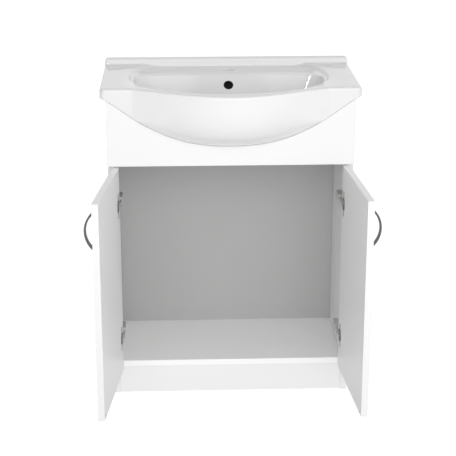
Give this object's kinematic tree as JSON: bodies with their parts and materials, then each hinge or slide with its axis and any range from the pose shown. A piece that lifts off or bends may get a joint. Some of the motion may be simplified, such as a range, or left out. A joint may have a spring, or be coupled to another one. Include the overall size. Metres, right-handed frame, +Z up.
{
  "type": "sink base cabinet",
  "caption": "White bathroom sink base cabinet with a semi-recessed ceramic basin, hinged doors standing open, bow handles and a plinth.",
  "frame": {"origin": "on the floor, under the middle of the plinth", "axes": "+Z up, +Y towards the wall, +X towards the viewer's right"},
  "size_m": [0.6991, 0.618, 0.845],
  "materials": {
    "white_board": "white lacquered board, soft gloss",
    "inner_board": "white melamine-faced board, satin",
    "basin_glaze": "white gloss glaze",
    "handle_steel": "brushed",
    "hinge_steel": "nickel plated",
    "screw_zinc": "zinc plated",
    "bumper_plastic": "clear soft plastic"
  },
  "bodies": {
    "carcass": {"side_panel_left": "white_board", "side_panel_right": "white_board", "plinth": "white_board", "fascia": "white_board", "bottom_panel": "inner_board", "back_panel": "inner_board", "front_rail": "inner_board", "fascia_cleat_left": "inner_board", "fascia_cleat_right": "inner_board", "basin": "basin_glaze", "hinge_arm_lower_left": "hinge_steel", "hinge_plate_lower_left": "hinge_steel", "plate_screw_lower_below_left": "screw_zinc", "plate_screw_lower_above_left": "screw_zinc", "hinge_arm_lower_right": "hinge_steel", "hinge_plate_lower_right": "hinge_steel", "plate_screw_lower_below_right": "screw_zinc", "plate_screw_lower_above_right": "screw_zinc", "hinge_arm_upper_left": "hinge_steel", "hinge_plate_upper_left": "hinge_steel", "plate_screw_upper_below_left": "screw_zinc", "plate_screw_upper_above_left": "screw_zinc", "hinge_arm_upper_right": "hinge_steel", "hinge_plate_upper_right": "hinge_steel", "plate_screw_upper_below_right": "screw_zinc", "plate_screw_upper_above_right": "screw_zinc"},
    "door_leaf_left": {"door_left": "white_board", "handle_left": "handle_steel", "door_bumper_left": "bumper_plastic", "hinge_cup_lower_left": "hinge_steel", "handle_screw_lower_left": "screw_zinc", "hinge_cup_upper_left": "hinge_steel", "handle_screw_upper_left": "screw_zinc"},
    "door_leaf_right": {"door_right": "white_board", "handle_right": "handle_steel", "door_bumper_right": "bumper_plastic", "hinge_cup_lower_right": "hinge_steel", "handle_screw_lower_right": "screw_zinc", "hinge_cup_upper_right": "hinge_steel", "handle_screw_upper_right": "screw_zinc"},
    "link_lower_left": {"hinge_link_lower_left": "hinge_steel"},
    "link_lower_right": {"hinge_link_lower_right": "hinge_steel"},
    "link_upper_left": {"hinge_link_upper_left": "hinge_steel"},
    "link_upper_right": {"hinge_link_upper_right": "hinge_steel"}
  },
  "joints": [
    {"name": "door_left_hinge", "type": "hinge", "parent": "carcass", "child": "door_leaf_left", "pos_m": [-0.3022, -0.0327, 0.352], "axis": [0, 0, 1], "range_deg": [0, 96.7]},
    {"name": "hinge_link_lower_left_pivot", "type": "hinge", "parent": "carcass", "child": "link_lower_left", "pos_m": [-0.2807, -0.018, 0.172], "axis": [0, 0, 1], "range_deg": [0, 155]},
    {"name": "hinge_link_upper_left_pivot", "type": "hinge", "parent": "carcass", "child": "link_upper_left", "pos_m": [-0.2807, -0.018, 0.532], "axis": [0, 0, 1], "range_deg": [0, 155]},
    {"name": "door_right_hinge", "type": "hinge", "parent": "carcass", "child": "door_leaf_right", "pos_m": [0.3022, -0.0327, 0.352], "axis": [0, 0, 1], "range_deg": [-94.1, 0]},
    {"name": "hinge_link_lower_right_pivot", "type": "hinge", "parent": "carcass", "child": "link_lower_right", "pos_m": [0.2807, -0.018, 0.172], "axis": [0, 0, 1], "range_deg": [-151, 0]},
    {"name": "hinge_link_upper_right_pivot", "type": "hinge", "parent": "carcass", "child": "link_upper_right", "pos_m": [0.2807, -0.018, 0.532], "axis": [0, 0, 1], "range_deg": [-151, 0]}
  ],
  "couplings": [
    {"joint": "hinge_link_lower_left_pivot", "follows": "door_left_hinge", "ratio": 1.6},
    {"joint": "hinge_link_upper_left_pivot", "follows": "door_left_hinge", "ratio": 1.6},
    {"joint": "hinge_link_lower_right_pivot", "follows": "door_right_hinge", "ratio": 1.6},
    {"joint": "hinge_link_upper_right_pivot", "follows": "door_right_hinge", "ratio": 1.6}
  ]
}
